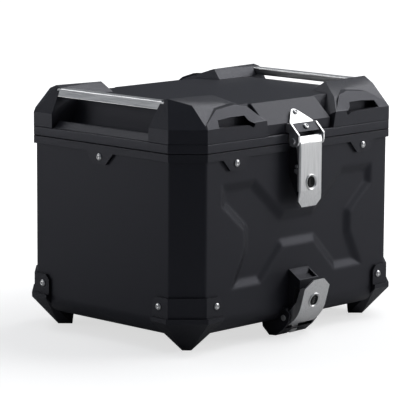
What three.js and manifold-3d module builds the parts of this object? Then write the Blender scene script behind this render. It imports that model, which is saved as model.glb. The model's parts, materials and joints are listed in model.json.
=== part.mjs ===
// Top case for a motorcycle: an octagonal aluminium box with a hinged lid, four tie-down
// corners, two grab bars, a locking lid lever and a locking rack lever.
// Millimetres. X is the width, the latches are at -Y, +Z is up, the feet stand on Z = 0.
// Pieces are drawn around the middle of the box; ORIGIN_Y then moves them all, so that the
// origin ends up under the middle of the whole part, latches and hinges included.
import * as THREE from "three";
import { ConvexGeometry } from "three/addons/geometries/ConvexGeometry.js";
import { mergeVertices } from "three/addons/utils/BufferGeometryUtils.js";
import Module from "manifold-3d";

const wasm = await Module();
wasm.setup();

// ---------------------------------------------------------------- driving dimensions
const WIDTH = 410;              // over the rim, along X
const DEPTH = 310;              // over the rim, along Y
const CORNER = 34;              // leg of the octagon's corner cut, at the rim
const SEAM = 250;               // height of the joint between case and lid
const GAP = 0.3;                // clearance between touching pieces
const ORIGIN_Y = 11.6;          // shift from the box's middle to the whole part's middle
const HALF_W = WIDTH / 2;
const HALF_D = DEPTH / 2;

const WALL = 2;                 // aluminium sheet
const WALL_INSET = 3.5;         // the rim stands this far proud of the walls
const SHELL_TOP = SEAM - 4;
const SHELL_BOTTOM = 20;
const BOTTOM_RADIUS = 24;       // rolled edge between walls and floor
const FLANGE_INSET = 38;
const FLOOR_INSET = 27;

const RIM_BOTTOM = SEAM - 10;
const RIM_INNER = 9.4;
const TAB = { bottom: SEAM - 24.5, topHalf: 25, bottomHalf: 11, x: 119, rivetZ: SEAM - 15.5 };

const LID_BASE = SEAM + 12.3;   // top of the lid frame, plus a gap
const DECK = SEAM + 50;
const RECESS_HALF = 87;         // half length of the hand recess beside each grab bar

const RIVET_RADIUS = 4.5;
const GUARD_TOP = SEAM - 178.5;
const GUARD_STEP = 46;
const GUARD_RIVET = { x: 153.5, y: 105, z: SEAM - 190.5 };

const UPPER_PIVOT = { y: -162, z: SEAM + 3 };
const UPPER_LOCK_Z = SEAM - 50;
const UPPER_FACE = -172;        // outer face of the lid lever
const KEEPER = { y: -165.2, z: SEAM - 29, radius: 2.5 };

const LOWER_PIVOT = { y: -153, z: 26.3 };
const LOWER_LOCK = { y: -179.2, z: 49.4 };
const LOWER_TILT = Math.atan2(10.5, 37);   // lean of the rack lever's flat face

const HINGE = { x: 78, half: 14, y: 160.5, z: SEAM + 1, knuckle: 4, pin: 2 };

// ---------------------------------------------------------------- finishes
const finish = (color, roughness, metalness) =>
  new THREE.MeshStandardMaterial({ color, roughness, metalness });
const COATED_SHEET = finish(0x3a3b40, 0.45, 0.3);
const BLACK_PLASTIC = finish(0x2b2b2e, 0.6, 0);
const GREY_PLASTIC = finish(0x3d3e43, 0.55, 0);
const STEEL = finish(0xc8c8c6, 0.28, 1);
const BAR_ALUMINIUM = finish(0xb4b4b4, 0.35, 1);
const RUBBER = finish(0x141414, 0.9, 0);

// ---------------------------------------------------------------- solids
function bareCopy(solid) {
  const copy = solid.clone();
  copy.deleteAttribute("normal");
  copy.deleteAttribute("uv");
  return copy;
}

function toManifold(geometry) {
  const merged = mergeVertices(bareCopy(geometry), 1e-4);
  return new wasm.Manifold(new wasm.Mesh({
    numProp: 3,
    vertProperties: new Float32Array(merged.attributes.position.array),
    triVerts: new Uint32Array(merged.index.array),
  }));
}

function toGeometry(manifold) {
  const mesh = manifold.getMesh();
  const geometry = new THREE.BufferGeometry();
  geometry.setAttribute("position", new THREE.BufferAttribute(new Float32Array(mesh.vertProperties), 3));
  geometry.setIndex(new THREE.BufferAttribute(new Uint32Array(mesh.triVerts), 1));
  return geometry;
}

function join(...solids) {
  return toGeometry(solids.map(toManifold).reduce((whole, solid) => whole.add(solid)));
}

function cut(solid, ...tools) {
  return toGeometry(tools.map(toManifold).reduce((rest, tool) => rest.subtract(tool), toManifold(solid)));
}

function common(first, second) {
  return toGeometry(toManifold(first).intersect(toManifold(second)));
}

// Reflects a solid in the planes X = 0 and/or Y = 0 and keeps its faces pointing out.
function mirrored(solid, signX, signY) {
  const geometry = mergeVertices(bareCopy(solid), 1e-4);
  geometry.scale(signX, signY, 1);
  if (signX * signY < 0) {
    const index = geometry.index.array;
    for (let i = 0; i < index.length; i += 3) {
      [index[i + 1], index[i + 2]] = [index[i + 2], index[i + 1]];
    }
  }
  return geometry;
}

function outline(points) {
  return new THREE.Shape(points.map(([u, v]) => new THREE.Vector2(u, v)));
}

function prism(shape, length) {
  return new THREE.ExtrudeGeometry(shape, { depth: length, bevelEnabled: false, curveSegments: 4 });
}

// Prism of a (Y, Z) outline between two X stations.
function alongX(points, x0, x1) {
  const solid = prism(outline(points), x1 - x0);
  solid.rotateX(Math.PI / 2);
  solid.rotateZ(Math.PI / 2);
  solid.translate(x0, 0, 0);
  return solid;
}

// Prism of an (X, Z) outline between two Y stations.
function alongY(points, y0, y1) {
  const solid = prism(outline(points), y1 - y0);
  solid.rotateX(Math.PI / 2);
  solid.translate(0, y1, 0);
  return solid;
}

function box(x0, x1, y0, y1, z0, z1) {
  const solid = new THREE.BoxGeometry(x1 - x0, y1 - y0, z1 - z0);
  solid.translate((x0 + x1) / 2, (y0 + y1) / 2, (z0 + z1) / 2);
  return solid;
}

function hull(points) {
  return new ConvexGeometry(points.map(([x, y, z]) => new THREE.Vector3(x, y, z)));
}

// Cylinder with its axis along X.
function rod(radius, x0, x1, y, z, sides = 12) {
  const solid = new THREE.CylinderGeometry(radius, radius, x1 - x0, sides);
  solid.rotateZ(Math.PI / 2);
  solid.translate((x0 + x1) / 2, y, z);
  return solid;
}

// Pin along X with a flat head at both ends, just outside the walls that it passes through.
function headedPin(radius, headRadius, halfSpan, y, z) {
  const head = 1.4;
  return join(
    rod(radius, -halfSpan - head, halfSpan + head, y, z),
    rod(headRadius, -halfSpan - head, -halfSpan - GAP, y, z, 16),
    rod(headRadius, halfSpan + GAP, halfSpan + head, y, z, 16),
  );
}

// Turned piece from a (radius, height) profile that starts and ends on the axis.
function turned(profile, sides) {
  return new THREE.LatheGeometry(profile.map(([r, h]) => new THREE.Vector2(r, h)), sides);
}

// The eight corners of the case's octagon, moved in by "inset".
function octagon(inset) {
  const x = HALF_W - inset;
  const y = HALF_D - inset;
  const c = CORNER - inset * (2 - Math.SQRT2);
  return [
    [x, y - c], [x - c, y], [c - x, y], [-x, y - c],
    [-x, c - y], [c - x, -y], [x - c, -y], [x, c - y],
  ];
}

// Sweeps a closed (inset, height) profile, listed in either direction, around the octagon.
function octagonRing(points) {
  const area = THREE.ShapeUtils.area(points.map(([inset, z]) => ({ x: inset, y: z })));
  const profile = area < 0 ? points : [...points].reverse();
  const vertices = profile.flatMap(([inset, z]) => octagon(inset).map(([x, y]) => [x, y, z]));
  const index = [];
  for (let row = 0; row < profile.length; row++) {
    const next = (row + 1) % profile.length;
    for (let side = 0; side < 8; side++) {
      const a = row * 8 + side;
      const b = row * 8 + ((side + 1) % 8);
      const c = next * 8 + ((side + 1) % 8);
      const d = next * 8 + side;
      index.push(a, b, c, a, c, d);
    }
  }
  const geometry = new THREE.BufferGeometry();
  geometry.setAttribute("position", new THREE.Float32BufferAttribute(vertices.flat(), 3));
  geometry.setIndex(index);
  return geometry;
}

// Solid octagonal block from a list of (inset, height) levels, bottom first.
function octagonBlock(levels) {
  return hull(levels.flatMap(([inset, z]) => octagon(inset).map(([x, y]) => [x, y, z])));
}

// Points of the rolled bottom edge, from the wall down to the floor.
function rolledEdge(radius, steps) {
  const centre = [WALL_INSET + BOTTOM_RADIUS, SHELL_BOTTOM + BOTTOM_RADIUS];
  return Array.from({ length: steps + 1 }, (_, i) => {
    const angle = (i / steps) * (Math.PI / 2);
    return [centre[0] - radius * Math.cos(angle), centre[1] - radius * Math.sin(angle)];
  });
}

// ---------------------------------------------------------------- assembly
const topCase = new THREE.Group();

function add(name, geometry, material) {
  const placed = geometry.clone();
  placed.translate(0, ORIGIN_Y, 0);
  const mesh = new THREE.Mesh(placed, material);
  mesh.name = name;
  topCase.add(mesh);
}

const CORNERS = [
  { name: "front_left", x: -1, y: -1 },
  { name: "front_right", x: 1, y: -1 },
  { name: "rear_left", x: -1, y: 1 },
  { name: "rear_right", x: 1, y: 1 },
];

// ---------------------------------------------------------------- case shell and floor
function caseShell() {
  const outer = rolledEdge(BOTTOM_RADIUS, 5);
  const inner = rolledEdge(BOTTOM_RADIUS - WALL, 5);
  return octagonRing([
    [WALL_INSET, SHELL_TOP],
    ...outer,
    [FLANGE_INSET, SHELL_BOTTOM],
    [FLANGE_INSET, SHELL_BOTTOM + WALL],
    ...inner.reverse(),
    [WALL_INSET + WALL, SHELL_TOP],
  ]);
}

// The space that the closed case takes up, a gap larger than its shell.
function caseKeepout() {
  return octagonBlock([
    ...rolledEdge(BOTTOM_RADIUS + GAP, 5).reverse(),
    [WALL_INSET - GAP, SHELL_TOP],
  ]);
}

function floorPlate() {
  const bottom = SHELL_BOTTOM + WALL + GAP;
  return octagonBlock([[FLOOR_INSET, bottom], [FLOOR_INSET, bottom + WALL]]);
}

add("case_shell", caseShell(), COATED_SHEET);
add("floor_plate", floorPlate(), COATED_SHEET);

// ---------------------------------------------------------------- rim frame with riveted tabs
function rimTab(centre, y) {
  const { bottom, topHalf, bottomHalf } = TAB;
  const points = [
    [centre - bottomHalf, bottom], [centre + bottomHalf, bottom],
    [centre + topHalf, RIM_BOTTOM + 1], [centre - topHalf, RIM_BOTTOM + 1],
  ];
  return alongY(points, y, y + WALL_INSET - GAP);
}

function rimFrame() {
  const clampOut = WALL_INSET - GAP;
  const clampIn = WALL_INSET + WALL + GAP;
  const top = SEAM - GAP;
  const ring = octagonRing([
    [0, RIM_BOTTOM], [clampOut, RIM_BOTTOM], [clampOut, SHELL_TOP + GAP],
    [clampIn, SHELL_TOP + GAP], [clampIn, RIM_BOTTOM], [RIM_INNER, RIM_BOTTOM],
    [RIM_INNER, top], [8.8, SEAM + 3], [7.2, SEAM + 3], [6.6, top], [0, top],
  ]);
  const front = [-TAB.x, TAB.x].map((x) => rimTab(x, -HALF_D));
  const rear = front.map((tab) => mirrored(tab, 1, -1));
  const left = rimTab(0, 0);
  left.rotateZ(-Math.PI / 2);
  left.translate(-HALF_W, 0, 0);
  return join(ring, ...front, ...rear, left, mirrored(left, -1, 1));
}

add("rim_frame", rimFrame(), BLACK_PLASTIC);

// Domed blind-rivet head whose flat side faces the wall: "turn" is its heading about Z.
function rivetHead(x, y, z, turn) {
  const r = RIVET_RADIUS;
  const head = turned([[0, 0], [r, 0], [r, 0.6], [r * 0.72, 1.8], [r * 0.36, 2.3], [0, 2.4]], 12);
  head.rotateZ(turn);
  head.translate(x, y, z);
  return head;
}

const FACING = { rear: 0, left: Math.PI / 2, front: Math.PI, right: -Math.PI / 2 };
const RIVET_Y = HALF_D + GAP;
const RIVET_X = HALF_W + GAP;

const RIM_RIVETS = [
  ["rim_rivet_front_left", -TAB.x, -RIVET_Y, "front"],
  ["rim_rivet_front_right", TAB.x, -RIVET_Y, "front"],
  ["rim_rivet_rear_left", -TAB.x, RIVET_Y, "rear"],
  ["rim_rivet_rear_right", TAB.x, RIVET_Y, "rear"],
  ["rim_rivet_left", -RIVET_X, 0, "left"],
  ["rim_rivet_right", RIVET_X, 0, "right"],
];
for (const [name, x, y, side] of RIM_RIVETS) {
  add(name, rivetHead(x, y, TAB.rivetZ, FACING[side]), STEEL);
}

// ---------------------------------------------------------------- corner guards with feet
// Wings on both walls carry the rivets; below them a strut sweeps in to the foot.
function cornerGuard() {
  const wingFront = [
    [-220, GUARD_STEP], [-144, GUARD_STEP], [-144, 65], [-150, GUARD_TOP], [-220, GUARD_TOP],
  ];
  const wingSide = wingFront.map(([x, z]) => [x + HALF_W - HALF_D, z]);
  const band = octagonBlock([[0, GUARD_STEP], [0, GUARD_TOP]]);
  const front = alongY(wingFront, -170, -110);
  const side = alongX(wingSide, -220, -160);
  const proud = 3.8;
  const strut = hull([
    [-HALF_W - proud, -95, GUARD_STEP], [-HALF_W - proud, -122, GUARD_STEP],
    [-172, -HALF_D - proud, GUARD_STEP], [-144, -HALF_D - proud, GUARD_STEP],
    [-HALF_W - proud, -95, 41], [-HALF_W - proud, -122, 40],
    [-172, -HALF_D - proud, 40], [-144, -HALF_D - proud, 41],
    [-196, -95, GUARD_STEP], [-144, -146, GUARD_STEP],
    [-171, -113, 0], [-163, -121, 0], [-158, -100, 0], [-150, -108, 0],
    [-158, -96, 24], [-146, -108, 24],
  ]);
  const wings = common(band, join(front, side));
  return cut(join(wings, strut), caseKeepout());
}

const guard = cornerGuard();
for (const corner of CORNERS) {
  add(`corner_guard_${corner.name}`, mirrored(guard, -corner.x, -corner.y), BLACK_PLASTIC);
  const { x, y, z } = GUARD_RIVET;
  const faceY = corner.y < 0 ? "front" : "rear";
  const faceX = corner.x < 0 ? "left" : "right";
  const onFace = rivetHead(corner.x * x, corner.y * RIVET_Y, z, FACING[faceY]);
  const onSide = rivetHead(corner.x * RIVET_X, corner.y * y, z, FACING[faceX]);
  add(`guard_rivet_${corner.name}_face`, onFace, STEEL);
  add(`guard_rivet_${corner.name}_side`, onSide, STEEL);
}

// ---------------------------------------------------------------- lid frame, gasket, panel
function lidFrame() {
  const top = LID_BASE - GAP;
  const bottom = SEAM + GAP;
  return octagonRing([
    [0, bottom], [6, bottom], [6, SEAM + 7], [10, SEAM + 7], [10, SEAM + 2],
    [13, SEAM + 2], [13, top], [0, top],
  ]);
}

function lidGasket() {
  return octagonRing([
    [6.3, SEAM + 3.6], [9.7, SEAM + 3.6], [9.7, SEAM + 6.7], [6.3, SEAM + 6.7],
  ]);
}

const bothSigns = (points) =>
  points.flatMap(([x, y, z]) => [[x, y, z], [-x, y, z], [x, -y, z], [-x, -y, z]]);

// Deck over the whole width, and the deeper centre section with the sloped front and rear.
const deckBody = (grow) => hull(bothSigns([
  [174 + grow, 134 + grow, LID_BASE - 2 * grow], [170 + grow, 134 + grow, SEAM + 20],
  [158 + grow, 118 + grow, DECK + grow],
]));
const centreBody = (grow) => hull(bothSigns([
  [60.5 + grow, 150 + grow, LID_BASE - 2 * grow], [60.5 + grow, 150 + grow, SEAM + 25],
  [60.5 + grow, 122 + grow, DECK + grow],
]));

function lidPanel() {
  const curb = [
    [-203.5, LID_BASE], [-160, LID_BASE], [-160, SEAM + 16], [-184, SEAM + 16],
    [-192, SEAM + 21], [-195, SEAM + 21],
  ];
  const curbHalf = RECESS_HALF - 1.5;
  const curbLeft = alongY(curb, -curbHalf, curbHalf);
  const outside = join(deckBody(0), centreBody(0), curbLeft, mirrored(curbLeft, -1, 1));
  const shell = -2.5;
  return cut(outside, deckBody(shell), centreBody(shell), box(-160, 160, -130, 130, SEAM, SEAM + 20));
}

add("lid_frame", lidFrame(), GREY_PLASTIC);
add("lid_gasket", lidGasket(), RUBBER);
add("lid_panel", lidPanel(), COATED_SHEET);

// ---------------------------------------------------------------- grab bars
const BAR_SECTION = [
  [-192.4, SEAM + 51], [-187, SEAM + 60.5], [-185, SEAM + 61.3], [-175.5, SEAM + 61.3],
  [-174, SEAM + 60], [-175.5, SEAM + 52], [-177, SEAM + 51],
];
const BAR_HALF = 96;
const EYE_BACK = -139.5;        // depth of the strap eye behind the front face

// ---------------------------------------------------------------- tie-down corner blocks
function cornerBlock() {
  const block = hull([
    [-205, -RECESS_HALF, LID_BASE], [-205, -121, LID_BASE], [-171, -155, LID_BASE],
    [-61, -155, LID_BASE], [-61, -112, LID_BASE], [-150, -RECESS_HALF, LID_BASE],
    [-205, -RECESS_HALF, SEAM + 30], [-205, -121, SEAM + 30], [-171, -155, SEAM + 30],
    [-65, -155, SEAM + 32],
    [-177, -121, SEAM + 57.5], [-170.5, -127.5, SEAM + 57.5],
    [-125, -124, SEAM + 58.5], [-82, -137, SEAM + 48],
    [-185, -100, SEAM + 64.5], [-106, -100, SEAM + 63], [-186.5, -91, SEAM + 62],
    [-100, -84, DECK + GAP], [-172, -84, DECK + GAP],
  ]);
  const eyeFrame = hull([
    [-170.5, -155, SEAM + 30], [-66, -155, SEAM + 31], [-169, -151.1, SEAM + 35.9],
    [-141.4, -140.4, SEAM + 50.8], [-137.2, -132.6, SEAM + 52.4], [-105, -138, SEAM + 54.3],
    [-103, -130, SEAM + 55.5], [-86.8, -141.1, SEAM + 50.5], [-78.7, -147.2, SEAM + 42.2],
    [-160, -140, SEAM + 30], [-75, -140, SEAM + 30],
  ]);
  const eye = alongY([
    [-150.5, SEAM + 30.8], [-97.5, SEAM + 29.3], [-89, SEAM + 25.6], [-85.8, SEAM + 29.8],
    [-95.5, SEAM + 35], [-99, SEAM + 41], [-124, SEAM + 41], [-147.5, SEAM + 39.4],
  ], -160, EYE_BACK);
  const strapRoom = box(-151, -90, -149, EYE_BACK, SEAM + 18, SEAM + 39);
  const barSocket = alongY(BAR_SECTION.map(([x, z]) => [
    x < -180 ? x - GAP : x + GAP,
    z < SEAM + 56 ? z - GAP : z + GAP,
  ]), -BAR_HALF - GAP, -60);
  const tools = [deckBody(GAP), centreBody(GAP), eye, strapRoom, barSocket, blockHollow()];
  return cut(join(block, eyeFrame), ...tools);
}

// Room inside a tie-down block, open towards the lid frame below it.
function blockHollow() {
  const room = hull([
    [-201, -91, LID_BASE - 1], [-201, -119, LID_BASE - 1], [-185, -136, LID_BASE - 1],
    [-66, -136, LID_BASE - 1], [-66, -116, LID_BASE - 1], [-150, -91, LID_BASE - 1],
    [-201, -91, SEAM + 29], [-201, -119, SEAM + 29], [-183, -136, SEAM + 29], [-72, -136, SEAM + 29],
    [-188, -102, SEAM + 45], [-176, -117, SEAM + 51], [-126, -119, SEAM + 52], [-96, -126, SEAM + 45],
  ]);
  return cut(room, deckBody(3), centreBody(3));
}

const tieDownBlock = cornerBlock();
for (const corner of CORNERS) {
  add(`tie_down_corner_${corner.name}`, mirrored(tieDownBlock, -corner.x, -corner.y), GREY_PLASTIC);
}

const barLeft = alongY(BAR_SECTION, -BAR_HALF, BAR_HALF);
add("grab_bar_left", barLeft, BAR_ALUMINIUM);
add("grab_bar_right", mirrored(barLeft, -1, 1), BAR_ALUMINIUM);

// ---------------------------------------------------------------- lid latch: bracket on the lid
const EAR = { inner: 22.1, outer: 24.6 };

function latchBracket() {
  const ear = [
    [-150.3, SEAM + 12.8], [-150.3, SEAM + 24.4], [-158.5, SEAM + 24.4], [-171.8, SEAM + 11.5],
    [-172.2, SEAM + 3], [-169.8, SEAM - 2], [-163, SEAM - 4.6], [-157.5, SEAM - 3],
    [-155.6, SEAM + 2], [-155.6, SEAM + 12.8],
  ];
  const ears = [
    alongX(ear, -EAR.outer, -EAR.inner),
    alongX(ear, EAR.inner, EAR.outer),
  ];
  const web = box(-EAR.outer, EAR.outer, -152.8, -150.3, SEAM + 12.8, SEAM + 24.4);
  const tab = hull([
    [-21, -152.9, SEAM + 24.2], [21, -152.9, SEAM + 24.2], [-21, -155.4, SEAM + 24.2],
    [21, -155.4, SEAM + 24.2], [-21, -153.4, SEAM + 26], [21, -153.4, SEAM + 26],
    [-6.5, -140.5, SEAM + 35.8], [6.5, -140.5, SEAM + 35.8],
    [-6.5, -142.1, SEAM + 37.7], [6.5, -142.1, SEAM + 37.7],
    [-3, -138, SEAM + 38], [3, -138, SEAM + 38], [-3, -139.6, SEAM + 39.9], [3, -139.6, SEAM + 39.9],
  ]);
  const bore = rod(2.8, -30, 30, UPPER_PIVOT.y, UPPER_PIVOT.z);
  return cut(join(web, ...ears, tab), bore, centreBody(GAP));
}

// Black cover between the ears, hollowed below so that the lever's top can turn past it.
function bracketCover() {
  const block = alongX([
    [-153.1, SEAM + 13], [-153.1, SEAM + 23.9], [-157.5, SEAM + 23.9], [-167.5, SEAM + 13.6],
    [-166, SEAM + 12], [-158, SEAM + 12],
  ], GAP - EAR.inner, EAR.inner - GAP);
  return cut(block, rod(12.4, -40, 40, UPPER_PIVOT.y, UPPER_PIVOT.z, 32));
}

// Pan-head screw: its axis leans from -Y towards +Z by "lean".
function screwHead(radius, x, y, z, lean) {
  const head = turned([[0, 0], [radius, 0], [radius, 1.2], [radius * 0.7, 2], [0, 2]], 12);
  head.rotateX(Math.PI - lean);
  head.translate(x, y, z);
  return head;
}

add("latch_bracket", latchBracket(), STEEL);
add("bracket_cover", bracketCover(), BLACK_PLASTIC);
add("bracket_tab_screw", screwHead(3.8, 0, -143.8, SEAM + 36.6, 0.79), STEEL);
add("bracket_cover_screw", screwHead(3.6, 0, -161.9, SEAM + 20, 0.77), STEEL);
add("lid_lever_pin", headedPin(2.5, 4, EAR.outer, UPPER_PIVOT.y, UPPER_PIVOT.z), STEEL);

// ---------------------------------------------------------------- lid latch: lever and lock
const UPPER_HALF = 21.2;
const LEVER_SHEET = 2;
const LEVER_BEND = 3;           // outer radius of the lid lever's long edges
const LOCK = { core: 6.6, sleeve: 7, hole: 8, ring: 10.4 };

// Flat-ended disc with its axis along Y, from "back" to "front" (front is the outer end, at -Y).
function discY(radius, front, back, x, z, sides = 20) {
  const solid = new THREE.CylinderGeometry(radius, radius, back - front, sides);
  solid.translate(x, (front + back) / 2, z);
  return solid;
}

function ringY(outer, inner, front, back, z) {
  return cut(discY(outer, front, back, 0, z), discY(inner, front - 1, back + 1, 0, z));
}

function lidLever() {
  const face = UPPER_FACE;
  const back = face + LEVER_SHEET;
  const plate = alongX([
    [face + 0.2, SEAM], [face + 1.9, SEAM + 7.6], [face + 4.2, SEAM + 9], [face + 5, SEAM + 7],
    [back + 1, SEAM], [back, SEAM - 60], [back + 3.5, SEAM - 81.5], [face + 3.5, SEAM - 81.5],
    [face, SEAM - 60],
  ], -UPPER_HALF, UPPER_HALF);
  const cheek = [
    [face + 1, SEAM + 7], [face + 5, SEAM + 8.6], [face + 10, SEAM + 8], [face + 15, SEAM + 3],
    [face + 13, SEAM - 2], [face + 6, SEAM - 6], [face + 4.5, SEAM - 22],
    [KEEPER.y - 3.2, KEEPER.z + 5], [KEEPER.y - 3.2, KEEPER.z - 3.4], [KEEPER.y + 3, KEEPER.z - 3.4],
    [KEEPER.y + 3, KEEPER.z - 7.5], [face + 5, KEEPER.z - 10], [face + 4, SEAM - 60], [face + 1, SEAM - 62],
  ];
  const cheeks = [
    alongX(cheek, -UPPER_HALF, -UPPER_HALF + 1.2),
    alongX(cheek, UPPER_HALF - 1.2, UPPER_HALF),
  ];
  const outlineCut = [[-40, -95], [40, -95], [40, -60], [UPPER_HALF + 1, -72.4], [13, -82], [-13, -82],
    [-UPPER_HALF - 1, -72.4], [-40, -60]].map(([x, z]) => [x, SEAM + z]);
  const bore = rod(2.8, -30, 30, UPPER_PIVOT.y, UPPER_PIVOT.z);
  const lockHole = discY(LOCK.hole, -180, -160, 0, UPPER_LOCK_Z);
  const sheet = common(join(plate, ...cheeks), rolledBar(UPPER_HALF, LEVER_BEND, face));
  return cut(sheet, alongY(outlineCut, -180, -155), bore, lockHole);
}

// Upright bar with two rolled edges at its front: what a pressed lever's outside fits within.
function rolledBar(half, radius, front) {
  const steps = 4;
  const arc = Array.from({ length: steps + 1 }, (_, i) => {
    const angle = (i / steps) * (Math.PI / 2);
    return [half - radius + radius * Math.sin(angle), front + radius - radius * Math.cos(angle)];
  });
  const side = [...arc, [half, front + 40]];
  const section = [...side, ...side.map(([x, y]) => [-x, y]).reverse()];
  const solid = prism(outline(section), 120);
  solid.translate(0, 0, SEAM - 95);
  return solid;
}

// Fixed sleeve of a lock, with a flat ring on the lever's outer face.
function lockBezel(face, z) {
  const ring = ringY(LOCK.ring, LOCK.sleeve, face - 1.4, face - GAP, z);
  const sleeve = ringY(LOCK.hole - GAP, LOCK.sleeve, face - 1, face + 2.4, z);
  return join(ring, sleeve);
}

// Lock core with a tongue behind it; the tongue points sideways when the lock is open.
function lockCore(front, z, depth, reach) {
  const core = discY(LOCK.core, front, front + depth, 0, z);
  const tongue = box(-3, reach, front + depth - 0.2, front + depth + 2, z - 4, z + 4);
  const keyway = box(-0.7, 0.7, front - 1, front + 3, z - 3.5, z + 3.5);
  return cut(join(core, tongue), keyway);
}

add("lid_lever", lidLever(), STEEL);
add("lid_lock_bezel", lockBezel(UPPER_FACE, UPPER_LOCK_Z), STEEL);
add("lid_lock_core", lockCore(UPPER_FACE + 0.3, UPPER_LOCK_Z, 9, 11.5), STEEL);

// ---------------------------------------------------------------- lid latch: housing on the case
function lidLatchHousing() {
  const block = alongX([
    [-151.2, SEAM - 10.3], [-151.2, SEAM - 40], [-167, SEAM - 72], [-168, SEAM - 72],
    [-168, SEAM - 6], [-155.3, SEAM - 6], [-155.3, SEAM - 10.3],
  ], -19.4, 19.4);
  const keeperBore = rod(KEEPER.radius + GAP, -30, 30, KEEPER.y, KEEPER.z);
  const lockWindow = box(-14, 14, -170, -157, UPPER_LOCK_Z - 8, UPPER_LOCK_Z + 8);
  const tongueRoom = box(-6, 14, -165, -157, UPPER_LOCK_Z, UPPER_LOCK_Z + 15);
  return cut(block, caseKeepout(), keeperBore, lockWindow, tongueRoom);
}

add("lid_latch_housing", lidLatchHousing(), BLACK_PLASTIC);
add("lid_latch_keeper", rod(KEEPER.radius, -UPPER_HALF, UPPER_HALF, KEEPER.y, KEEPER.z), STEEL);

// ---------------------------------------------------------------- rack latch under the front edge
const LOWER_HALF = 23.5;
const CHEEK = { inner: 24.4, outer: 28 };
const CLAW_HALF = 6;
const POCKET_HALF = 18;         // half width of the block with the finger pocket

// Block on the wall with a finger pocket on top and a lip that the lock's tongue sits behind;
// below it two cheeks and a sole reach under the case and hold the lever's pin.
function rackLatchHousing() {
  const core = alongX([
    [-148, 88.5], [-152.5, 87.6], [-171, 76], [-171, 59.5], [-168.5, 59.5], [-168.5, 66],
    [-161, 66], [-161, 36], [-148, 36],
  ], -POCKET_HALF, POCKET_HALF);
  const side = [
    [-148, 41], [-156, 39], [-162.5, 31], [-160, 20], [-152.5, 11.5], [-140, 1.5], [-128.5, 0.4],
    [-117, 10], [-115, 21], [-140, 38],
  ];
  const cheeks = [
    alongX(side, -CHEEK.outer, -CHEEK.inner),
    alongX(side, CHEEK.inner, CHEEK.outer),
  ];
  const sole = alongX([
    [-152.5, 11.5], [-140, 1.5], [-128.5, 0.4], [-117, 10], [-115, 21], [-136, 21], [-139, 12],
    [-149.5, 11.2],
  ], -CHEEK.outer, CHEEK.outer);
  const bridge = alongX([[-148, 41], [-156, 39], [-156, 36.5], [-148, 35]], -CHEEK.outer, CHEEK.outer);
  const clawRoom = box(-CLAW_HALF - 1, CLAW_HALF + 1, -148.3, -120, -5, 30);
  const pinBore = rod(2.8, -40, 40, LOWER_PIVOT.y, LOWER_PIVOT.z);
  const fingerPocket = hull([-15.5, 15.5].flatMap((x) => [
    [x, -153.5, 93], [x, -171, 82], [x, -157.5, 79.5], [x, -169, 73.5],
  ]));
  return cut(join(core, bridge, sole, ...cheeks), fingerPocket, caseKeepout(), clawRoom, pinBore);
}

// Rack lever: a flat leaning face between two flanges, curled in under the case at its lower end.
function rackLever() {
  const lean = (z) => LOWER_LOCK.y - 0.6 - (z - LOWER_LOCK.z) * Math.tan(LOWER_TILT);
  const outer = [
    [lean(77), 77], [lean(40), 40], [-173.2, 32], [-167, 24.5], [-159.5, 18.2], [-153, 15], [-148.2, 13.8],
  ];
  const inner = [
    [-148, 15.6], [-152.4, 16.9], [-158.4, 20], [-165.5, 26], [-171.4, 33.1], [lean(40) + 2, 40.4],
    [lean(77) + 2, 77],
  ];
  const plate = alongX([...outer, ...inner], -LOWER_HALF, LOWER_HALF);
  const top = [[-60, 120], [-60, 40], [-LOWER_HALF - 1, 66], [-9.6, 77.2], [9.6, 77.2],
    [LOWER_HALF + 1, 66], [60, 40], [60, 120]];
  const flange = [
    [lean(70) + 1, 70], [-176.5, 66], [-170, 48], [-161, 38], [-156, 33], [-149.5, 29.5],
    [-147.3, 25], [-147.3, 15.2], [-152.7, 16], [-159, 19.2], [-166.3, 25.3], [-172.3, 32.6],
    [lean(40) + 1, 40.2],
  ];
  const flanges = [
    alongX(flange, -LOWER_HALF, 1.6 - LOWER_HALF),
    alongX(flange, LOWER_HALF - 1.6, LOWER_HALF),
  ];
  const bore = rod(2.8, -30, 30, LOWER_PIVOT.y, LOWER_PIVOT.z);
  return cut(join(plate, ...flanges), alongY(top, -200, -160), rackLockHole(), bore);
}

// Moves a piece that was made around the origin, facing -Y, to the rack lever's lock.
function atRackLock(solid) {
  const placed = solid.clone();
  placed.rotateX(LOWER_TILT);
  placed.translate(0, LOWER_LOCK.y, LOWER_LOCK.z);
  return placed;
}

function rackLockHole() {
  return atRackLock(discY(LOCK.hole, -10, 8, 0, 0));
}

// Claw that swings with the lever and reaches out through a slot in the housing's sole.
function rackClaw() {
  const profile = [
    [-157, 27], [-153, 30.8], [-149, 28], [-148.6, 24], [-146.5, 18.5], [-144.3, 13], [-141.8, 9],
    [-139, 5.5], [-138.5, 3], [-143, 2.2], [-146, 6.5], [-147.6, 12.8], [-147.4, 16.2], [-152, 17.8],
    [-157, 20.8],
  ];
  const bore = rod(2.8, -30, 30, LOWER_PIVOT.y, LOWER_PIVOT.z);
  return cut(alongX(profile, -CLAW_HALF, CLAW_HALF), bore);
}

add("rack_latch_housing", rackLatchHousing(), BLACK_PLASTIC);
add("rack_lever_pin", headedPin(2.5, 4, CHEEK.outer, LOWER_PIVOT.y, LOWER_PIVOT.z), STEEL);
add("rack_lever", rackLever(), STEEL);
add("rack_claw", rackClaw(), STEEL);
add("rack_lock_bezel", atRackLock(lockBezel(-0.6, 0)), STEEL);
add("rack_lock_core", atRackLock(lockCore(-0.2, 0, 15, 11)), STEEL);

// ---------------------------------------------------------------- fixed hooks under the rear
function rackHook() {
  return alongX([
    [96, 19.7], [96, 16.5], [106, 16.5], [106, 3], [118, 3], [118, 6], [109.5, 6], [109.5, 16.5],
    [124, 16.5], [124, 19.7],
  ], -14, 14);
}

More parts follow.
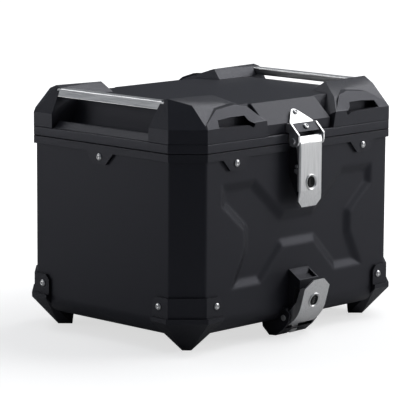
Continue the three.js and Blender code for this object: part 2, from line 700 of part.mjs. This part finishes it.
for (const [name, x] of [["rack_hook_left", -70], ["rack_hook_right", 70]]) {
  const hook = rackHook();
  hook.translate(x, 0, 0);
  add(name, hook, STEEL);
}

// ---------------------------------------------------------------- rear hinges
function knuckle(x0, x1) {
  return rod(HINGE.knuckle, x0, x1, HINGE.y, HINGE.z, 14);
}

const hingeBore = () => rod(HINGE.pin + GAP, -40, 40, HINGE.y, HINGE.z);

function caseLeaf() {
  const third = HINGE.half / 3;
  const leaf = alongX([
    [151.8, SEAM - 36], [154, SEAM - 36], [154, SEAM - 14], [157.6, SEAM - 10], [157.6, SEAM - 4.5],
    [155.3, SEAM - 4.5], [155.3, SEAM - 10.3], [151.8, SEAM - 10.3],
  ], -HINGE.half, HINGE.half);
  const web = alongX([
    [155.3, SEAM - 6], [157.6, SEAM - 6], [162, SEAM - 2.4], [158, SEAM],
  ], GAP - third, third - GAP);
  return cut(join(leaf, web, knuckle(GAP - third, third - GAP)), hingeBore());
}

function lidLeaf() {
  const third = HINGE.half / 3;
  const sides = [[-HINGE.half, -third], [third, HINGE.half]];
  const leaf = alongX([
    [155.3, SEAM + 6], [157.4, SEAM + 6], [157.4, SEAM + 24], [155.3, SEAM + 24],
  ], -HINGE.half, HINGE.half);
  const webs = sides.map(([x0, x1]) => alongX([
    [155.3, SEAM + 8], [157.4, SEAM + 8], [162, SEAM + 4.2], [157.6, SEAM + 2],
  ], x0, x1));
  return cut(join(leaf, ...webs, ...sides.map(([x0, x1]) => knuckle(x0, x1))), hingeBore());
}

function at(solid, x) {
  const placed = solid.clone();
  placed.translate(x, 0, 0);
  return placed;
}

for (const [side, x] of [["left", -HINGE.x], ["right", HINGE.x]]) {
  add(`hinge_case_leaf_${side}`, at(caseLeaf(), x), STEEL);
  add(`hinge_lid_leaf_${side}`, at(lidLeaf(), x), STEEL);
  add(`hinge_pin_${side}`, at(rod(HINGE.pin, -HINGE.half - 1, HINGE.half + 1, HINGE.y, HINGE.z), x), STEEL);
}

export default topCase;
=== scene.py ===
"""Motorcycle top case: the visual model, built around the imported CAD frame.

Lengths are metres. A piece's own numbers are written in millimetres around the middle of the
box, as in part.mjs, and mm() brings them into the frame.
"""
import json
import math

import bpy
from mathutils import Matrix, Vector


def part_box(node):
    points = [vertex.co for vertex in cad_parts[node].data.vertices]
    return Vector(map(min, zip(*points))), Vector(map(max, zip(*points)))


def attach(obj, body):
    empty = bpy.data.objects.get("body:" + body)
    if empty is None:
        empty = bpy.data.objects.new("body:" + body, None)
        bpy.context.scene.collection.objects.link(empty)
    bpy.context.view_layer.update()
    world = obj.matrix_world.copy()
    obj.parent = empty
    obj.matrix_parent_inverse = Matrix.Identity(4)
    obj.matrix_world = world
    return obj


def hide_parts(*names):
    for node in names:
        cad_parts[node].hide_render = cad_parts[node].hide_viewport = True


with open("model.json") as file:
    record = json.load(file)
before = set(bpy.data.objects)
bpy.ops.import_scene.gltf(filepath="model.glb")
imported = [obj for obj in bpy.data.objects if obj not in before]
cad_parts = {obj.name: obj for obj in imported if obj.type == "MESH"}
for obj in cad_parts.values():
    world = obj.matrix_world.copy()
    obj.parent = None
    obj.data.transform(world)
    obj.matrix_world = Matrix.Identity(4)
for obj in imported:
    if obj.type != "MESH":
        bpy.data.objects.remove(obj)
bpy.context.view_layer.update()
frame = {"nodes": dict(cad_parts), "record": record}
NODES = frame["nodes"]

# ------------------------------------------------------------------ shared dimensions, mm
ORIGIN_Y = 11.6          # the box's middle lies this far along +Y from the frame's origin
HALF_W = 205.0
HALF_D = 155.0
CORNER = 34.0            # leg of the octagon's corner cut
SEAM = 250.0             # height of the joint between case and lid
WALL_INSET = 3.5
WALL = 2.0
SHELL_TOP = 246.0
SHELL_BOTTOM = 20.0
BOTTOM_RADIUS = 24.0
FLANGE_INSET = 38.0


def mm(x, y, z):
    """A point in millimetres around the box's middle, in the frame's metres."""
    return Vector((x / 1000, (y + ORIGIN_Y) / 1000, z / 1000))


# ------------------------------------------------------------------ camera, lights, floor
AZIMUTH = math.radians(-46.202)
ELEVATION = math.radians(9.506)
ROLL = math.radians(0.358)


def add_camera():
    back = Vector((
        math.sin(AZIMUTH) * math.cos(ELEVATION),
        -math.cos(AZIMUTH) * math.cos(ELEVATION),
        math.sin(ELEVATION),
    ))
    level_right = Vector((math.cos(AZIMUTH), math.sin(AZIMUTH), 0))
    level_up = back.cross(level_right)
    right = level_right * math.cos(ROLL) + level_up * math.sin(ROLL)
    up = back.cross(right)
    turn = Matrix((right, up, back)).transposed().to_4x4()
    data = bpy.data.cameras.new("camera")
    data.lens = 218.5
    data.sensor_width = 36
    data.clip_end = 50
    camera = bpy.data.objects.new("camera", data)
    camera.matrix_world = Matrix.Translation(mm(-2380.9, -2278.5, 695.2)) @ turn
    bpy.context.scene.collection.objects.link(camera)
    bpy.context.scene.camera = camera


def add_area_light(name, place, target, size, power):
    data = bpy.data.lights.new(name, "AREA")
    data.shape = "RECTANGLE"
    data.size, data.size_y = size
    data.energy = power
    light = bpy.data.objects.new(name, data)
    light.location = place
    heading = Vector(target) - Vector(place)
    light.rotation_euler = heading.to_track_quat("-Z", "Y").to_euler()
    bpy.context.scene.collection.objects.link(light)


def camera_only(tree):
    """1 for rays that come straight from the camera, 0 for reflections and bounces."""
    return tree.nodes.new("ShaderNodeLightPath").outputs["Is Camera Ray"]


def add_world():
    """White behind the object; for light and reflections a dim room with a dark horizon."""
    world = bpy.data.worlds.new("studio")
    world.use_nodes = True
    tree = world.node_tree
    place = tree.nodes.new("ShaderNodeTexCoord").outputs["Generated"]
    split = tree.nodes.new("ShaderNodeSeparateXYZ")
    height = tree.nodes.new("ShaderNodeValToRGB")
    height.color_ramp.elements[0].position = 0.1
    height.color_ramp.elements[0].color = (0.05, 0.055, 0.065, 1)
    height.color_ramp.elements[1].position = 0.75
    height.color_ramp.elements[1].color = (0.2, 0.215, 0.24, 1)
    mix = tree.nodes.new("ShaderNodeMix")
    mix.data_type = "RGBA"
    mix.inputs["B"].default_value = (1, 1, 1, 1)
    tree.links.new(place, split.inputs["Vector"])
    tree.links.new(split.outputs["Z"], height.inputs["Fac"])
    tree.links.new(camera_only(tree), mix.inputs["Factor"])
    tree.links.new(height.outputs["Color"], mix.inputs["A"])
    tree.links.new(mix.outputs["Result"], tree.nodes["Background"].inputs["Color"])
    bpy.context.scene.world = world
    bpy.context.scene.view_settings.view_transform = "Standard"


def add_floor():
    mesh = bpy.data.meshes.new("floor")
    half = 12
    mesh.from_pydata([(-half, -half, 0), (half, -half, 0), (half, half, 0), (-half, half, 0)],
                     [], [(0, 1, 2, 3)])
    floor = bpy.data.objects.new("floor", mesh)
    bpy.context.scene.collection.objects.link(floor)
    material = bpy.data.materials.new("floor_white")
    material.use_nodes = True
    tree = material.node_tree
    shader = tree.nodes["Principled BSDF"]
    shader.inputs["Base Color"].default_value = (0.52, 0.52, 0.52, 1)
    shader.inputs["Roughness"].default_value = 0.9
    shader.inputs["Specular IOR Level"].default_value = 0.1
    shader.inputs["Emission Color"].default_value = (1, 1, 1, 1)
    place = tree.nodes.new("ShaderNodeTexCoord").outputs["Object"]
    distance = tree.nodes.new("ShaderNodeVectorMath")
    distance.operation = "LENGTH"
    away = tree.nodes.new("ShaderNodeMapRange")
    away.inputs["From Min"].default_value = 0.3
    away.inputs["From Max"].default_value = 1.2
    away.inputs["To Min"].default_value = 0.66
    away.inputs["To Max"].default_value = 1.0
    glow = tree.nodes.new("ShaderNodeMath")
    glow.operation = "MULTIPLY"
    tree.links.new(place, distance.inputs[0])
    tree.links.new(distance.outputs["Value"], away.inputs["Value"])
    tree.links.new(camera_only(tree), glow.inputs[0])
    tree.links.new(away.outputs["Result"], glow.inputs[1])
    tree.links.new(glow.outputs["Value"], shader.inputs["Emission Strength"])
    mesh.materials.append(material)


def add_studio():
    middle = (0, 0, 0.16)
    add_world()
    add_floor()
    add_area_light("softbox_above", (1.5, -0.3, 2.0), middle, (2.2, 2.0), 38)
    add_area_light("softbox_back", (-0.3, 1.7, 2.0), middle, (1.0, 0.8), 8)
    add_area_light("softbox_right", (1.6, -1.5, 0.85), middle, (0.9, 0.9), 13)
    add_area_light("softbox_left", (-1.9, 1.7, 0.6), middle, (1.0, 0.6), 9)


# ------------------------------------------------------------------ materials
class Recipe:
    """Small helper around one material's node tree."""

    def __init__(self, name):
        self.material = bpy.data.materials.new(name)
        self.material.use_nodes = True
        self.tree = self.material.node_tree
        self.shader = self.tree.nodes["Principled BSDF"]
        self.place = self.tree.nodes.new("ShaderNodeTexCoord").outputs["Object"]

    def set(self, **values):
        for label, value in values.items():
            self.shader.inputs[label.replace("_", " ")].default_value = value

    def stretched(self, scale):
        mapping = self.tree.nodes.new("ShaderNodeMapping")
        mapping.inputs["Scale"].default_value = scale
        self.tree.links.new(self.place, mapping.inputs["Vector"])
        return mapping.outputs["Vector"]

    def noise(self, scale, detail=2.0, roughness=0.5, vector=None):
        node = self.tree.nodes.new("ShaderNodeTexNoise")
        node.inputs["Scale"].default_value = scale
        node.inputs["Detail"].default_value = detail
        node.inputs["Roughness"].default_value = roughness
        self.tree.links.new(vector or self.place, node.inputs["Vector"])
        return node.outputs["Fac"]

    def cells(self, scale):
        node = self.tree.nodes.new("ShaderNodeTexVoronoi")
        node.inputs["Scale"].default_value = scale
        self.tree.links.new(self.place, node.inputs["Vector"])
        return node.outputs["Distance"]

    def ramp(self, source, low, high, stops=(0.3, 0.7)):
        """Maps a 0-1 source to a colour between low and high."""
        node = self.tree.nodes.new("ShaderNodeValToRGB")
        node.color_ramp.elements[0].position = stops[0]
        node.color_ramp.elements[1].position = stops[1]
        node.color_ramp.elements[0].color = (*low, 1)
        node.color_ramp.elements[1].color = (*high, 1)
        self.tree.links.new(source, node.inputs["Fac"])
        return node.outputs["Color"]

    def range(self, source, low, high):
        node = self.tree.nodes.new("ShaderNodeMapRange")
        node.inputs["From Min"].default_value = 0.3
        node.inputs["From Max"].default_value = 0.7
        node.inputs["To Min"].default_value = low
        node.inputs["To Max"].default_value = high
        self.tree.links.new(source, node.inputs["Value"])
        return node.outputs["Result"]

    def feed(self, label, source):
        self.tree.links.new(source, self.shader.inputs[label])

    def bump(self, height, strength, distance):
        node = self.tree.nodes.new("ShaderNodeBump")
        node.inputs["Strength"].default_value = strength
        node.inputs["Distance"].default_value = distance
        self.tree.links.new(height, node.inputs["Height"])
        self.tree.links.new(node.outputs["Normal"], self.shader.inputs["Normal"])


def grey(value, tint=(1.0, 1.0, 1.0)):
    return tuple(value * part for part in tint)


COOL = (0.93, 0.94, 1.2)
COOL_SHEEN = (0.86, 0.87, 1.0, 1)


def powder_coat(name, tone, roughness):
    """Sprayed and baked coat: fine orange peel with a faint sparkle of lighter grains."""
    recipe = Recipe(name)
    grain = recipe.noise(1500, detail=3)
    recipe.feed("Base Color", recipe.ramp(grain, grey(tone * 0.8, COOL), grey(tone * 1.25, COOL)))
    recipe.feed("Roughness", recipe.range(recipe.noise(420, detail=3), roughness - 0.02, roughness + 0.02))
    recipe.set(Metallic=0.0, Specular_IOR_Level=0.42, Specular_Tint=COOL_SHEEN)
    recipe.bump(recipe.noise(900, detail=2), 0.25, 0.0004)
    return recipe.material


def moulded_plastic(name, tone, roughness):
    """Injection-moulded plastic with an etched grain."""
    recipe = Recipe(name)
    mottle = recipe.noise(220, detail=5)
    recipe.feed("Base Color", recipe.ramp(mottle, grey(tone * 0.85, COOL), grey(tone * 1.15, COOL)))
    recipe.feed("Roughness", recipe.range(recipe.noise(500, detail=3), roughness - 0.06, roughness + 0.06))
    recipe.set(Specular_IOR_Level=0.5, Specular_Tint=COOL_SHEEN)
    recipe.bump(recipe.cells(1400), 0.35, 0.0003)
    return recipe.material


def brushed_metal(name, tone, roughness, along, tint=(1.0, 1.0, 1.0)):
    """Metal brushed in one direction: 'along' is the axis number of the strokes."""
    recipe = Recipe(name)
    scale = [1.0, 1.0, 1.0]
    scale[along] = 0.03
    strokes = recipe.noise(1100, detail=3, vector=recipe.stretched(scale))
    recipe.feed("Base Color", recipe.ramp(strokes, grey(tone * 0.86, tint), grey(tone * 1.08, tint)))
    recipe.feed("Roughness", recipe.range(strokes, roughness - 0.06, roughness + 0.08))
    recipe.set(Metallic=1.0)
    recipe.bump(strokes, 0.12, 0.0002)
    return recipe.material


def polished_metal(name, tone, roughness):
    recipe = Recipe(name)
    recipe.feed("Base Color", recipe.ramp(recipe.noise(90, detail=4), grey(tone * 0.92), grey(tone * 1.05)))
    recipe.feed("Roughness", recipe.range(recipe.noise(400, detail=4), roughness - 0.03, roughness + 0.04))
    recipe.set(Metallic=1.0)
    recipe.bump(recipe.noise(700, detail=2), 0.04, 0.0002)
    return recipe.material


def soft_rubber(name):
    recipe = Recipe(name)
    recipe.feed("Base Color", recipe.ramp(recipe.noise(150, detail=5), grey(0.008), grey(0.018)))
    recipe.feed("Roughness", recipe.range(recipe.noise(300), 0.75, 0.9))
    recipe.bump(recipe.noise(1200, detail=3), 0.2, 0.0002)
    return recipe.material


MATERIALS = {
    "coated_sheet": powder_coat("charcoal_powder_coat", 0.012, 0.47),
    "black_plastic": moulded_plastic("black_moulded_plastic", 0.007, 0.44),
    "grey_plastic": moulded_plastic("grey_moulded_plastic", 0.011, 0.4),
    "stainless": brushed_metal("brushed_stainless", 0.86, 0.36, along=2),
    "lock_chrome": polished_metal("lock_chrome", 0.62, 0.16),
    "rivet_steel": polished_metal("rivet_steel", 0.66, 0.3),
    "bar_aluminium": brushed_metal("brushed_aluminium", 0.74, 0.38, along=1),
    "gasket_rubber": soft_rubber("gasket_rubber"),
}
SLOT_OF = {part["node"]: part["material_slot"] for part in frame["record"]["subparts"]}


# ------------------------------------------------------------------ CAD nodes: finish and soft edges
def smooth_group():
    """Geometry nodes that shade a mesh smooth, so that bevelled edges catch the light."""
    group = bpy.data.node_groups.new("shade_smooth", "GeometryNodeTree")
    group.interface.new_socket("Geometry", in_out="INPUT", socket_type="NodeSocketGeometry")
    group.interface.new_socket("Geometry", in_out="OUTPUT", socket_type="NodeSocketGeometry")
    start = group.nodes.new("NodeGroupInput")
    end = group.nodes.new("NodeGroupOutput")
    shade = group.nodes.new("GeometryNodeSetShadeSmooth")
    group.links.new(start.outputs["Geometry"], shade.inputs["Geometry"])
    group.links.new(shade.outputs["Geometry"], end.inputs["Geometry"])
    return group


SMOOTH = smooth_group()
DEFAULT_EDGE = 0.4
EDGE_RADIUS = {
    "rim_frame": 1.0, "lid_frame": 1.2, "lid_panel": 2.5, "rack_latch_housing": 0.8,
    "bracket_cover": 0.7, "lid_latch_housing": 1.0,
    "lid_lever": 0.5, "rack_lever": 0.5, "grab_bar_left": 0.9, "grab_bar_right": 0.9,
}
EDGE_RADIUS_BY_KIND = {"tie_down_corner": 2.6, "corner_guard": 1.2, "rim_rivet": 0.3, "guard_rivet": 0.3}


def edge_radius(name):
    for kind, radius in EDGE_RADIUS_BY_KIND.items():
        if name.startswith(kind):
            return radius
    return EDGE_RADIUS.get(name, DEFAULT_EDGE)


def soften(piece, radius):
    """Welds split corners, rounds the edges and shades the result smooth."""
    weld = piece.modifiers.new("weld", "WELD")
    weld.merge_threshold = 0.00002
    smooth = piece.modifiers.new("smooth", "NODES")
    smooth.node_group = SMOOTH
    bevel = piece.modifiers.new("bevel", "BEVEL")
    bevel.width = radius / 1000
    bevel.segments = 3
    bevel.limit_method = "ANGLE"
    bevel.angle_limit = math.radians(24)
    weighted = piece.modifiers.new("normals", "WEIGHTED_NORMAL")
    weighted.keep_sharp = True


def finish_cad_nodes():
    for name, node in NODES.items():
        node.data.materials.clear()
        node.data.materials.append(MATERIALS[SLOT_OF[name]])
        soften(node, edge_radius(name))


# ------------------------------------------------------------------ mesh helpers
def new_piece(name, points, faces, slot, body, replaces=()):
    mesh = bpy.data.meshes.new(name)
    mesh.from_pydata([tuple(mm(*point)) for point in points], [], faces)
    mesh.validate()
    mesh.materials.append(MATERIALS[slot])
    mesh.shade_smooth()
    piece = bpy.data.objects.new(name, mesh)
    bpy.context.scene.collection.objects.link(piece)
    if replaces:
        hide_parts(*replaces)
    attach(piece, body)


def grid_faces(rows, columns, wrap_rows=False, wrap_columns=False):
    """Quads over a grid of points stored row by row."""
    faces = []
    for row in range(rows if wrap_rows else rows - 1):
        below = (row + 1) % rows
        for column in range(columns if wrap_columns else columns - 1):
            beside = (column + 1) % columns
            faces.append((row * columns + column, row * columns + beside,
                          below * columns + beside, below * columns + column))
    return faces


# ------------------------------------------------------------------ case body with the pressed front
PRESS_DEPTH = 4.5        # of the X pressed into the front wall
PRESS_SLOPE = 14.0       # width of its sloped border
# One half of the X's outline, (x, height) from the top middle down to the bottom middle.
PRESS_HALF = [
    (27, 164), (81, 211), (143.5, 211), (143.5, 181), (103, 146),
    (103, 124), (128, 74), (69, 74), (28, 116),
]
PRESS_OUTLINE = PRESS_HALF + [(-x, z) for x, z in reversed(PRESS_HALF)]


def inside(outline, x, z):
    odd = False
    for (x0, z0), (x1, z1) in zip(outline, outline[1:] + outline[:1]):
        if (z0 > z) != (z1 > z) and x < x0 + (z - z0) * (x1 - x0) / (z1 - z0):
            odd = not odd
    return odd


def border_distance(outline, x, z):
    best = math.inf
    for (x0, z0), (x1, z1) in zip(outline, outline[1:] + outline[:1]):
        dx, dz = x1 - x0, z1 - z0
        share = ((x - x0) * dx + (z - z0) * dz) / (dx * dx + dz * dz)
        share = min(1.0, max(0.0, share))
        best = min(best, math.hypot(x - x0 - share * dx, z - z0 - share * dz))
    return best


def press_depth(x, z):
    if not inside(PRESS_OUTLINE, x, z):
        return 0.0
    share = min(1.0, border_distance(PRESS_OUTLINE, x, z) / PRESS_SLOPE)
    return PRESS_DEPTH * share * share * (3 - 2 * share)


def octagon_corners(inset):
    x = HALF_W - inset
    y = HALF_D - inset
    c = CORNER - inset * (2 - math.sqrt(2))
    return [(x, y - c), (x - c, y), (c - x, y), (-x, y - c),
            (-x, c - y), (c - x, -y), (x - c, -y), (x, c - y)]


def rounded_octagon(inset, radius, front_steps, turn_steps=5):
    """Points of an octagon with rounded corners, the front wall split into even steps."""
    corners = [Vector(corner) for corner in octagon_corners(inset)]
    setback = radius * math.tan(math.pi / 8)
    path = []
    for i, corner in enumerate(corners):
        before = (corners[i - 1] - corner).normalized()
        after = (corners[(i + 1) % 8] - corner).normalized()
        centre = corner + (before + after).normalized() * (radius / math.cos(math.pi / 8))
        start = corner + before * setback
        end = corner + after * setback
        for step in range(turn_steps + 1):
            share = step / turn_steps
            spoke = (start - centre).lerp(end - centre, share).normalized()
            path.append(centre + spoke * radius)
        if i == 5:
            last = path[-1]
            goal = corners[6] - after * setback
            path += [last.lerp(goal, step / front_steps) for step in range(1, front_steps)]
    return path


WALL_ROWS = 84           # rows down the flat wall, close enough to carry the pressed X
ROLL_STEPS = 10          # steps around the rolled lower edge
FRONT_STEPS = 140        # columns across the front wall


def wall_rows(inset, radius):
    """(inset, height) stations down one side of the sheet and around its rolled lower edge."""
    centre = (WALL_INSET + BOTTOM_RADIUS, SHELL_BOTTOM + BOTTOM_RADIUS)
    rows = [(inset, SHELL_TOP + (centre[1] - SHELL_TOP) * i / WALL_ROWS) for i in range(WALL_ROWS)]
    for i in range(ROLL_STEPS + 1):
        angle = i / ROLL_STEPS * math.pi / 2
        rows.append((centre[0] - radius * math.cos(angle), centre[1] - radius * math.sin(angle)))
    return rows


def case_rows():
    """Stations down the outside, in under the floor and back up the inside."""
    outside = wall_rows(WALL_INSET, BOTTOM_RADIUS)
    within = wall_rows(WALL_INSET + WALL, BOTTOM_RADIUS - WALL)
    under = [(FLANGE_INSET, SHELL_BOTTOM), (FLANGE_INSET, SHELL_BOTTOM + WALL)]
    return outside + under + within[::-1]


def case_body():
    rows = case_rows()
    points = []
    for inset, z in rows:
        path = rounded_octagon(inset, max(1.5, 7 - inset * 0.2), FRONT_STEPS)
        front_y = inset - HALF_D
        for x, y in path:
            on_front = abs(y - front_y) < 0.01
            points.append((x, y + press_depth(x, z) if on_front else y, z))
    columns = len(points) // len(rows)
    faces = grid_faces(len(rows), columns, wrap_rows=True, wrap_columns=True)
    new_piece("case_body", points, faces, "coated_sheet", "case", replaces=("case_shell",))


# ------------------------------------------------------------------ turned hardware
def spin(profile, centre, outward, sides, lobes=0, depth=0.0):
    """Points of (radius, height) stations turned around "outward", height measured from "centre".

    A station with a third value swells and shrinks around the axis, as a star recess does.
    """
    axis = Vector(outward).normalized()
    side = axis.orthogonal().normalized()
    up = axis.cross(side)
    points = []
    for radius, height, *wavy in profile:
        for i in range(sides):
            angle = 2 * math.pi * i / sides
            reach = radius + (depth * math.cos(lobes * angle) if wavy else 0.0)
            spoke = side * math.cos(angle) + up * math.sin(angle)
            points.append(tuple(Vector(centre) + spoke * reach + axis * height))
    return points


def capped_faces(rows, columns):
    """Quads between closed loops of points, with the first and the last loop filled in."""
    faces = grid_faces(rows, columns, wrap_columns=True)
    faces.append(tuple(range(columns))[::-1])
    faces.append(tuple(range((rows - 1) * columns, rows * columns)))
    return faces


def turned_piece(name, profile, centre, outward, slot, body, replaces, sides=40, lobes=0, depth=0.0):
    points = spin(profile, centre, outward, sides, lobes, depth)
    new_piece(name, points, capped_faces(len(profile), sides), slot, body, replaces)


def node_centre(name):
    """Middle of a CAD node, in millimetres around the box's middle."""
    low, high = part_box(name)
    return [(low[i] + high[i]) * 500 - (ORIGIN_Y if i == 1 else 0) for i in range(3)]


RIVET_PROFILE = [
    (4.3, 0.0), (4.5, 0.15), (4.5, 0.5), (4.2, 0.95), (3.4, 1.5), (2.4, 1.85), (1.75, 1.95),
    (1.5, 1.8), (1.4, 1.3), (0.7, 1.25), (0.2, 1.3),
]
RIVET_HALF = 1.2          # half the height of a CAD rivet head


def outward_of(name):
    """Which way a rivet faces: along the axis on which its box is thinnest."""
    low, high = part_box(name)
    spans = [high[i] - low[i] for i in range(2)]
    axis = spans.index(min(spans))
    outward = [0, 0, 0]
    outward[axis] = math.copysign(1, node_centre(name)[axis])
    return outward


def rivets():
    for name in NODES:
        if not name.startswith(("rim_rivet", "guard_rivet")):
            continue
        outward = outward_of(name)
        centre = [c - o * RIVET_HALF for c, o in zip(node_centre(name), outward)]
        turned_piece(name + "_head", RIVET_PROFILE, centre, outward, "rivet_steel", "case", (name,))


SCREW_PROFILE = [
    (3.5, 0.0), (3.7, 0.3), (3.7, 1.0), (3.4, 1.5), (2.7, 1.9), (2.1, 2.0, True), (1.95, 1.8, True),
    (1.9, 0.8, True), (0.4, 0.75),
]


def screws():
    spots = {
        "bracket_tab_screw": (0, -143.8, SEAM + 36.6, 0.79),
        "bracket_cover_screw": (0, -161.9, SEAM + 20, 0.77),
    }
    for name, (x, y, z, lean) in spots.items():
        outward = (0, -math.cos(lean), math.sin(lean))
        turned_piece(name + "_head", SCREW_PROFILE, (x, y, z), outward, "stainless", "lid", (name,),
                     sides=48, lobes=6, depth=0.25)


LOCK_RING = [
    (7.7, -2.2), (7.75, -0.4), (9.9, -0.2), (10.35, 0.0), (10.3, 0.5), (9.9, 0.95), (9.4, 1.05),
    (8.9, 0.85), (8.0, 0.2), (7.3, -0.15), (7.05, -0.5), (7.0, -2.4),
]


RING_SIDES = 56


def lock_ring(name, centre, outward, body, replaces):
    """Dished ring around a lock. It is open in the middle, so its last row joins its first."""
    points = spin(LOCK_RING, centre, outward, RING_SIDES)
    faces = grid_faces(len(LOCK_RING), RING_SIDES, wrap_rows=True, wrap_columns=True)
    new_piece(name, points, faces, "stainless", body, replaces)


def stadium(half_width, half_height, steps=12):
    """Outline of a slot with round ends, upright."""
    straight = half_height - half_width
    loop = []
    for start, lift in ((0.0, straight), (math.pi, -straight)):
        for i in range(steps + 1):
            angle = start + math.pi * i / steps
            loop.append((half_width * math.cos(angle), lift + half_width * math.sin(angle)))
    return loop


# (half width, half height, height above the lock's face) from the shutter's edge to its key slit.
SHUTTER = [
    (6.1, 6.8, -0.3), (6.1, 6.8, 0.5), (5.9, 6.6, 0.8), (5.3, 6.2, 0.9), (5.0, 5.9, 0.7),
    (4.8, 5.7, 0.0), (1.2, 4.2, -0.05), (1.0, 4.0, -0.25), (0.7, 3.7, -0.3),
]


def lock_insert(name, centre, outward, body):
    """Black shutter on a lock core: a raised stadium rim around a recess with a key slit."""
    axis = Vector(outward).normalized()
    across = Vector((1, 0, 0))
    up = axis.cross(across) * -1
    points = []
    for half_width, half_height, height in SHUTTER:
        for u, v in stadium(half_width, half_height):
            points.append(tuple(Vector(centre) + across * u + up * v + axis * height))
    faces = capped_faces(len(SHUTTER), len(points) // len(SHUTTER))
    new_piece(name, points, faces, "gasket_rubber", body)


LOCK_TILT = math.atan2(10.5, 37)      # lean of the rack lever's flat face


def locks():
    lean = (0, -math.cos(LOCK_TILT), -math.sin(LOCK_TILT))
    lock_ring("lid_lock_ring", (0, -172.2, SEAM - 50), (0, -1, 0), "lid_latch_lever", ("lid_lock_bezel",))
    lock_insert("lid_lock_insert", (0, -172.0, SEAM - 50), (0, -1, 0), "lid_lock")
    lock_ring("rack_lock_ring", (0, -180.0, 49.2), lean, "rack_latch_lever", ("rack_lock_bezel",))
    lock_insert("rack_lock_insert", (0, -179.6, 49.3), lean, "rack_lock")


finish_cad_nodes()
case_body()
rivets()
screws()
locks()
add_camera()
add_studio()
